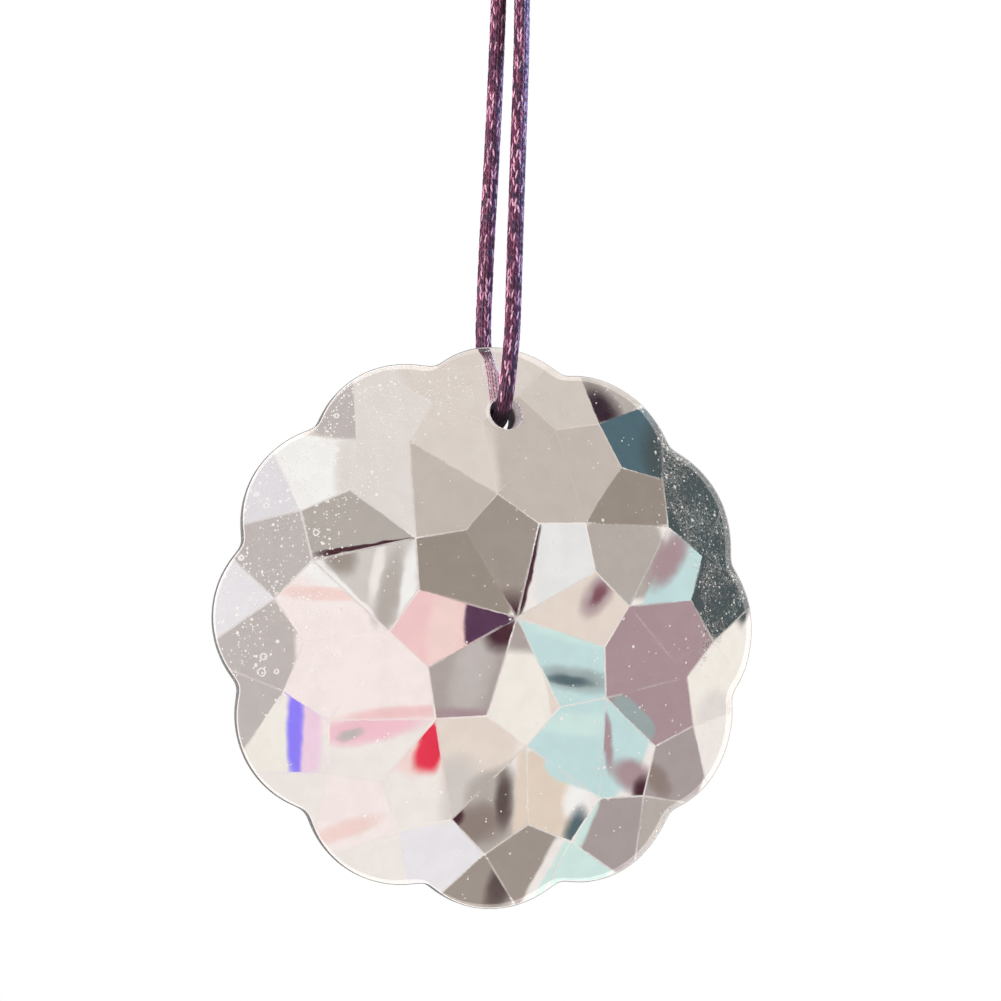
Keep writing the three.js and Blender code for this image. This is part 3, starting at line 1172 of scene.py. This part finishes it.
satin = make_satin_material()
for piece in (strands, loop, knot, *cores):
    piece.data.materials.append(satin)
print("satin on", 3 + len(cores), "pieces")

# %% [markdown]
# ## Shade in the hole, light from the facets
#
# Little light reaches the cord inside the drilled hole, while just in front of the glass the facets
# throw light onto its far side, which is the side that they reflect. A renderer finds such light only
# slowly, so both are values stored on the cord's own points, for the thread's material to read.

# %% Store the shade and the thrown light
SHADE_REACH = 2.1 * MM  # how far from the hole's middle line the shade reaches
SHADE_FRONT = -2.4 * MM
SHADE_BACK = 3.6 * MM
GLASS_BEHIND = -1.5 * MM  # the front strand lies before this
HOLE_EDGE = -71.8 * MM  # and above this
THROWN_BELOW = -60 * MM


def store_on_points(piece, name, values):
    layer = piece.data.attributes.new(name, "FLOAT", "POINT")
    layer.data.foreach_set("value", values)
    print(name, "on", int((values > 0.5).sum()), "points of", piece.name)


def mark_light(piece, line):
    """Shade inside the hole, and thrown light on the side that faces the facets."""
    places = np.empty(len(piece.data.vertices) * 3)
    piece.data.vertices.foreach_get("co", places)
    places = places.reshape(-1, 3)
    x, y, z = places.T
    in_hole = np.hypot(x - DISC_X, z - (DISC_Z + HOLE_HEIGHT * MM)) < SHADE_REACH
    from_front = np.clip((y - SHADE_FRONT) / (0.4 * MM), 0, 1)
    from_back = np.clip((SHADE_BACK - y) / (0.5 * MM), 0, 1)
    store_on_points(piece, "in_the_hole", from_front * from_back * in_hole)
    middles = np.repeat(line, SIDES_ROUND, axis=0)
    middles = np.vstack([middles, line[:1], line[-1:]])
    far_side = np.clip((y - middles[:, 1]) / (0.5 * MM) + 0.3, 0, 1)
    before_glass = (middles[:, 1] < GLASS_BEHIND) & (middles[:, 2] > HOLE_EDGE)
    low_enough = np.clip((THROWN_BELOW - z) / (3 * MM), 0, 1)
    store_on_points(piece, "facing_the_glass", far_side * before_glass * low_enough)


mark_light(strands, strand_line)

# %% [markdown]
# ## What the facets reflect
#
# Each facet is a small mirror that shows one patch of the room, so cut glass is only as lively as what
# stands round it. The room is painted on the world by soft-edged cards of colour, placed by compass
# direction and height, as reflector cards are set round a piece of jewellery. Only reflected and
# transmitted rays see them; the camera sees a plain pale background, and matt surfaces get plain
# soft light.


# %% Make one card
def vector_math(tree, operation, first, second):
    return node(tree, "ShaderNodeVectorMath", {0: first, 1: second}, operation=operation).outputs


def make_card_group():
    """A card of colour over what lies behind it: a rounded square, or a round glow where it is soft."""
    group, given, result = new_group(
        "light card",
        {"Place": "Vector", "Behind": "Color", "Colour": "Color", "Middle": "Vector", "Half Size": "Vector",
         "Turn": "Float", "Softness": "Float"},
        {"Colour": "Color"},
    )
    apart = vector_math(group, "SUBTRACT", given["Place"], given["Middle"])[0]
    turning = {"Vector": apart, "Angle": given["Turn"]}
    turned = node(group, "ShaderNodeVectorRotate", turning, rotation_type="Z_AXIS").outputs[0]
    scaled = vector_math(group, "DIVIDE", turned, given["Half Size"])[0]
    squared = vector_math(group, "MULTIPLY", scaled, scaled)[0]
    square = node(group, "ShaderNodeVectorMath", {0: squared}, operation="LENGTH").outputs["Value"]
    ring = vector_math(group, "DOT_PRODUCT", scaled, scaled)["Value"]
    is_soft = sum_of(group, "GREATER_THAN", given["Softness"], 0.6)
    reach = node(group, "ShaderNodeMix", {0: is_soft, 2: square, 3: ring}).outputs[0]
    outer = sum_of(group, "ADD", 1.0, given["Softness"])
    inner = sum_of(group, "SUBTRACT", 1.0, given["Softness"])
    share = ramp(group, reach, outer, inner)
    group.links.new(blend_colours(group, share, given["Behind"], given["Colour"]), result["Colour"])
    return group


light_card = make_card_group()

# %% [markdown]
# ## The room in cards
#
# The colours are named first, as a painter lays out a palette. Then the cards are listed from the back
# of the room to the front, so that a later card covers an earlier one. They stand from 45 degrees left
# of the front to 75 degrees right of it, which is where the facets look when they are seen from the
# camera. Beyond them is only a pale surround.

# %% Name the colours and hang the cards
PALETTE = {
    "dim wall": (24, 23, 24),
    "warm white": (236, 230, 226),
    "paper white": (242, 242, 240),
    "wall": (216, 208, 201),
    "wall shade": (193, 184, 176),
    "wall pale": (222, 216, 212),
    "taupe": (157, 147, 139),
    "taupe dark": (150, 140, 130),
    "stone": (178, 171, 165),
    "plum": (70, 36, 48),
    "plum black": (50, 32, 44),
    "purple": (84, 52, 80),
    "blush": (242, 231, 229),
    "pink": (237, 198, 198),
    "salmon": (239, 211, 205),
    "rose": (238, 192, 204),
    "red": (226, 48, 76),
    "violet": (140, 126, 248),
    "lilac": (236, 207, 226),
    "cream": (226, 214, 204),
    "ivory": (238, 234, 226),
    "beige": (222, 207, 191),
    "grey": (172, 162, 158),
    "silver": (206, 200, 196),
    "lavender": (222, 220, 225),
    "lavender pale": (230, 228, 232),
    "aqua": (192, 220, 220),
    "mint": (203, 228, 223),
    "teal shade": (84, 104, 110),
    "teal grey": (152, 166, 166),
    "mauve": (167, 144, 149),
    "mauve grey": (166, 155, 155),
    "slate": (70, 82, 84),
    "slate blue": (78, 104, 114),
    "wine": (128, 84, 94),
    "pewter": (190, 183, 180),
    "steel": (228, 229, 228),
    "ash": (140, 126, 120),
    "wall far": (206, 199, 191),
    "umber": (92, 78, 76),
}
# name, colour, compass degrees right of the front, degrees up, half width, half height, turn, softness
CARDS = [
    ("wall", "wall", 15, 60, 47, 32, 0, 0.06),
    ("wall left", "wall pale", -14, 45, 12, 19, 0, 0.2),
    ("wall right", "wall shade", 36, 35, 15, 8, -14, 0.1),
    ("wall near hole", "wall shade", 30, 45, 8, 9, 0, 0.7),
    ("wall gap", "wall shade", 0.5, 33, 9.5, 6, -27, 0.1),
    ("wall side", "wall pale", -12, 36, 6.8, 8, 0, 0.1),
    ("dusty corner", "pewter", -26, 49, 4, 4, 0, 0.2),
    ("beam", "taupe", 15, 20, 7, 8.5, 0, 0.12),
    ("beam left", "taupe dark", 3, 15, 8, 7.5, 0, 0.1),
    ("beam foot", "plum", 16, 10, 4, 4, 0, 0.9),
    ("shelf top", "taupe dark", 51, 27, 8, 4.3, 0, 0.1),
    ("shelf", "stone", 50, 17, 6, 6, 0, 0.15),
    ("window", "steel", 31, 15, 6, 7, 0, 0.2),
    ("curtain edge", "plum", 24.3, 15.3, 0.6, 6.5, -20, 0.55),
    ("lamp shade", "cream", 33, 6, 10, 5, 0, 0.15),
    ("lamp mark", "mauve", 36.2, 7.6, 3, 1.5, 48, 0.95),
    ("lamp core", "wine", 36.3, 7.6, 1.5, 0.8, 50, 0.95),
    ("cloth", "aqua", 31, -5.5, 7.5, 6, 0, 0.1),
    ("cloth top", "mint", 31, -2.2, 7, 1.2, -8, 0.7),
    ("cloth fold", "teal grey", 31.6, -7.6, 5.4, 1.3, -3, 0.95),
    ("cloth fold core", "teal shade", 31, -7.8, 3, 0.6, -3, 0.95),
    ("jar", "ivory", 20, -12, 4.5, 7, 0, 0.15),
    ("jar top", "grey", 19, -5, 3, 2.8, 0, 0.5),
    ("jar edge", "cream", 24, -13, 0.7, 4, 20, 0.6),
    ("post", "grey", 6, -9, 6.5, 7, 0, 0.1),
    ("post light", "pewter", 7, -9, 2.4, 6, -12, 0.95),
    ("post top", "plum", 10.5, -4.2, 2.5, 2.2, 30, 0.9),
    ("post foot", "mauve", 6, -14.8, 5, 1.2, 0, 0.8),
    ("petal", "pink", -1, 1.5, 7, 6, 0, 0.15),
    ("petal light", "salmon", 0.3, 0, 2, 7, -3, 0.95),
    ("berry", "purple", 7.3, 2, 4.6, 3.6, 0, 0.12),
    ("sky", "paper white", -29, 35, 6.5, 6.5, 0, 0.3),
    ("sky side", "wall pale", -24.5, 36, 1.6, 5, 0, 0.9),
    ("haze", "lavender", -39, 29, 4.5, 6, 0, 0.3),
    ("frame left", "pewter", -36, 17, 5.5, 7, 0, 0.1),
    ("haze low", "lavender pale", -42.5, 7, 4, 5.6, 0, 0.3),
    ("frame low", "pewter", -37, -3, 5.5, 6.5, 0, 0.1),
    ("frame foot", "pewter", -39.5, -15, 4, 5.5, 0, 0.2),
    ("blush wall", "blush", -20, -6, 13.2, 16.5, 0, 0.06),
    ("blush top", "paper white", -24, 11.5, 6, 2.2, -35, 0.8),
    ("blush fold", "salmon", -23.5, 7.9, 6, 0.8, -3, 0.95),
    ("veil", "silver", -16.3, 14.7, 8, 5.6, -43, 0.06),
    ("veil light", "paper white", -14, 12, 0.9, 6, -8, 0.95),
    ("veil second light", "warm white", -17.8, 14, 0.7, 4, -10, 0.9),
    ("veil shade", "taupe", -22.3, 15.4, 1.8, 2.2, 30, 0.95),
    ("veil second shade", "stone", -16.4, 10.6, 1.1, 6, -10, 0.95),
    ("sill", "stone", -18.5, 22.3, 7.5, 4.6, 0, 0.08),
    ("sill edge", "plum", -16.8, 19.3, 7, 0.32, 12, 0.5),
    ("veil corner", "stone", -13, 9, 1.3, 2.2, -30, 0.9),
    ("ribbon", "pink", -13, -17.3, 6.5, 0.9, 4, 0.95),
    ("ribbon low", "rose", -14, -20.8, 6.5, 1.8, 8, 0.7),
    ("ribbon knot", "pewter", -16.6, -21.6, 1.6, 0.6, 12, 0.95),
    ("ivory side", "ivory", -35, -21.5, 3.2, 6, 0, 0.2),
    ("lilac strip", "lilac", -29.5, -21, 1.7, 8, 0, 0.7),
    ("violet strip", "violet", -30.9, -21, 0.9, 8, -2, 0.75),
    ("rug", "blush", -17, -38, 7, 5, 0, 0.2),
    ("rug fold", "salmon", -18.8, -40.6, 5, 1.1, 12, 0.95),
    ("red bloom glow", "salmon", -1, -28.8, 3.8, 2.4, 0, 0.9),
    ("red bloom", "red", 0.5, -27.8, 1.9, 3.1, -14, 0.5),
    ("lavender low", "lavender pale", 5, -48, 10, 4.2, 0, 0.3),
    ("slope", "cream", 9, -29, 6.5, 5, 0, 0.3),
    ("slope low", "silver", 7.5, -34.5, 4.2, 4, 0, 0.9),
    ("hearth", "stone", 15.5, -36.6, 5.4, 5.6, 20, 0.3),
    ("hearth dark", "ash", 15.3, -37.6, 4.6, 2.4, 12, 0.9),
    ("hearth corner", "plum", 11.9, -37.1, 1.3, 1, 0, 0.9),
    ("hearth second dark", "umber", 18.4, -34.5, 1.2, 3.4, 18, 0.95),
    ("step", "beige", 21.6, -33.5, 1.7, 7, 14, 0.6),
    ("stone floor", "taupe", 22.5, -53, 8, 4, 0, 0.15),
    ("stone floor dark", "umber", 26.5, -52.6, 2.6, 3, 30, 0.9),
    ("bench", "taupe", 31, -46, 6.2, 5.5, 0, 0.08),
    ("bench edge", "warm white", 37, -46, 1, 5, -4, 0.7),
    ("bench mint", "mint", 38.9, -46, 1.1, 5, -4, 0.5),
    ("board", "beige", 33, -31.5, 5.6, 5.5, 0, 0.12),
    ("board light", "paper white", 37.4, -31, 2, 2.2, 20, 0.9),
    ("board end", "teal shade", 39, -34.4, 1.7, 2.6, 12, 0.9),
    ("sea", "aqua", 39, -23.5, 8.5, 6.2, 0, 0.08),
    ("sea band", "mint", 38, -22, 7, 1.2, 6, 0.9),
    ("shell", "aqua", 45.5, -20.5, 4.2, 5.6, 0, 0.2),
    ("shell edge", "mauve", 43.4, -20.6, 0.8, 4, 29, 0.8),
    ("shell shade", "mauve", 48.9, -24.1, 3.4, 1.7, -8, 0.7),
    ("shell dark", "plum", 50.8, -25.2, 1.4, 1.4, 30, 0.95),
    ("mint low", "mint", 50, -44, 5.5, 3.5, 0, 0.2),
    ("mauve low", "mauve grey", 54.5, -35, 6, 5, 0, 0.15),
    ("mauve low side", "mint", 48.3, -35, 0.9, 4.5, 5, 0.9),
    ("mauve foot", "stone", 64, -31, 3.2, 4.6, 0, 0.2),
    ("glint", "aqua", 57.3, 10.6, 9, 4.7, 52, 0.12),
    ("glint streak", "mauve", 56.2, 15.2, 4.2, 1.7, 40, 0.8),
    ("screen", "mauve", 54, -4, 8.5, 11.5, 0, 0.06),
    ("screen arc", "teal grey", 50.2, -12.6, 3.6, 1.5, -26, 0.3),
    ("mauve side", "mauve grey", 63.3, -21, 4.6, 5.2, 0, 0.12),
    ("mauve side dark", "ash", 61, -23.2, 2.6, 1.2, -20, 0.95),
    ("slate wall", "slate", 70, 19, 8.5, 17.5, 0, 0.06),
    ("slate top", "slate blue", 61, 37.5, 6, 6.2, 0, 0.1),
    ("slate top low", "slate", 64, 34.8, 4.4, 3.2, 30, 0.95),
    ("wall far", "wall far", 46, 50, 12, 6, 0, 0.4),
    ("gable", "stone", 62.5, 48, 5.5, 4, 0, 0.15),
    ("gable dark", "plum black", 58.4, 45.8, 3.4, 2.8, 10, 0.95),
    ("side light", "ivory", 70.5, -5, 6.5, 9, 0, 0.2),
    ("side pale", "wall pale", 69.4, -9.5, 3, 2.6, 0, 0.8),
    ("side shade", "warm white", 72, -16, 3.6, 4, 0, 0.7),
]
CARD_DRIFT = 0.6  # degrees by which the cards' edges wander, so that none is ruler-straight
COATING_STRENGTH = 1.78  # the coating sends back only part of the light, so the cards are brighter


def room_colour(tree):
    """All cards in a row, each over the one before it."""
    ray = node(tree, "ShaderNodeTexCoord").outputs["Generated"]
    axis = node(tree, "ShaderNodeSeparateXYZ", {0: ray}).outputs
    front = sum_of(tree, "MULTIPLY", axis["Y"], -1.0)
    compass = sum_of(tree, "DEGREES", sum_of(tree, "ARCTAN2", axis["X"], front))
    height = sum_of(tree, "DEGREES", sum_of(tree, "ARCSINE", axis["Z"]))
    straight = node(tree, "ShaderNodeCombineXYZ", {"X": compass, "Y": height}).outputs[0]
    wander = {"Vector": straight, "Scale": 0.5, "Detail": 3.0}
    drift = node(tree, "ShaderNodeTexNoise", wander).outputs["Color"]
    drift = vector_math(tree, "SUBTRACT", drift, (0.5, 0.5, 0.5))[0]
    drift = node(tree, "ShaderNodeVectorMath", {0: drift, "Scale": CARD_DRIFT}, operation="SCALE").outputs[0]
    place = vector_math(tree, "ADD", straight, drift)[0]
    behind = ramp(tree, axis["Y"], -0.1, 0.3)
    shown = blend_colours(tree, behind, colour(*PALETTE["warm white"]), colour(*PALETTE["dim wall"]))
    for _, tone, turn, rise, half_width, half_height, tilt, softness in CARDS:
        card = {
            "Place": place,
            "Behind": shown,
            "Colour": colour(*PALETTE[tone]),
            "Middle": (turn, rise, 0),
            "Half Size": (half_width, half_height, 1),
            "Turn": -math.radians(tilt),
            "Softness": softness,
        }
        shown = place_group(tree, light_card, card)["Colour"]
    return shown


PLAIN_LIGHT = 0.85  # the plain light on matt surfaces


def make_studio_world():
    """White for the camera, the cards for reflections and glass, and plain light for all the rest."""
    world = bpy.data.worlds.new("studio")
    bpy.context.scene.world = world
    world.use_nodes = True
    tree = world.node_tree
    tree.nodes.clear()
    backdrop = node(tree, "ShaderNodeBackground", {"Color": (1, 1, 1, 1), "Strength": 1.0})
    plain = node(tree, "ShaderNodeBackground", {"Color": (1, 1, 1, 1), "Strength": PLAIN_LIGHT})
    cards = node(tree, "ShaderNodeBackground", {"Color": room_colour(tree), "Strength": COATING_STRENGTH})
    path = node(tree, "ShaderNodeLightPath").outputs
    mirrored = sum_of(tree, "MAXIMUM", path["Is Glossy Ray"], path["Is Transmission Ray"])
    first_hand = sum_of(tree, "MULTIPLY", mirrored, sum_of(tree, "LESS_THAN", path["Diffuse Depth"], 0.5))
    lit = node(tree, "ShaderNodeMixShader", {0: first_hand, 1: plain.outputs[0], 2: cards.outputs[0]})
    parts = {0: path["Is Camera Ray"], 1: lit.outputs[0], 2: backdrop.outputs[0]}
    seen = node(tree, "ShaderNodeMixShader", parts)
    node(tree, "ShaderNodeOutputWorld", {"Surface": seen.outputs[0]})


make_studio_world()
bpy.context.scene.view_settings.view_transform = "Standard"
print(len(CARDS), "cards in", len(PALETTE), "colours")

# %% [markdown]
# ## Floor and lamps
#
# The floor is a plain pale disc some way below the suncatcher, out of the camera's view and out of the
# facets' reflections. Two soft lamps model the cord: a warm one from the left, and a small blue one
# close by at the upper right, whose light fades down the cord. They light only the cord, so that no
# lamp shows in a facet.

# %% Lay the floor and set the lamps
FLOOR_DROP = 120 * MM
FLOOR_RADIUS = 700 * MM


def make_floor():
    """A matt pale disc that no facet shows."""
    mesh_maker = bmesh.new()
    bmesh.ops.create_circle(mesh_maker, cap_ends=True, radius=FLOOR_RADIUS, segments=96)
    mesh = bpy.data.meshes.new("studio_floor")
    mesh_maker.to_mesh(mesh)
    mesh_maker.free()
    floor = bpy.data.objects.new("studio_floor", mesh)
    floor.location = (DISC_X, 0, disc_low[2] - FLOOR_DROP)
    material, tree, shader = new_material("pale floor")
    grain = node(tree, "ShaderNodeTexNoise", {"Scale": 60.0, "Detail": 3.0}).outputs["Fac"]
    tint = blend_colours(tree, grain, (0.68, 0.67, 0.66, 1), (0.72, 0.71, 0.70, 1))
    fill_inputs(tree, shader, {"Base Color": tint, "Roughness": 0.8})
    mesh.materials.append(material)
    floor.visible_glossy = False
    floor.visible_transmission = False
    bpy.context.collection.objects.link(floor)


def soft_lamp(name, place, size, power, tint, lit):
    """A square soft lamp that faces the cord and lights only the given pieces."""
    lamp = bpy.data.lights.new(name, "AREA")
    lamp.size = size
    lamp.energy = power
    lamp.color = tint
    holder = bpy.data.objects.new(name, lamp)
    holder.location = place
    middle = Vector((DISC_X, 0, DISC_Z / 2))
    holder.rotation_mode = "QUATERNION"
    holder.rotation_quaternion = (middle - Vector(place)).to_track_quat("-Z", "Y")
    bpy.context.collection.objects.link(holder)
    holder.light_linking.receiver_collection = lit


make_floor()
lit_pieces = bpy.data.collections.new("lit by the lamps")
for piece in (strands, loop, knot, *cores):
    lit_pieces.objects.link(piece)
soft_lamp("left_lamp", (-0.42, -0.12, -0.06), 0.15, 3.3, (1.0, 0.80, 0.86), lit_pieces)
soft_lamp("right_lamp", (0.13, -0.03, 0.05), 0.06, 0.75, (0.38, 0.56, 1.0), lit_pieces)
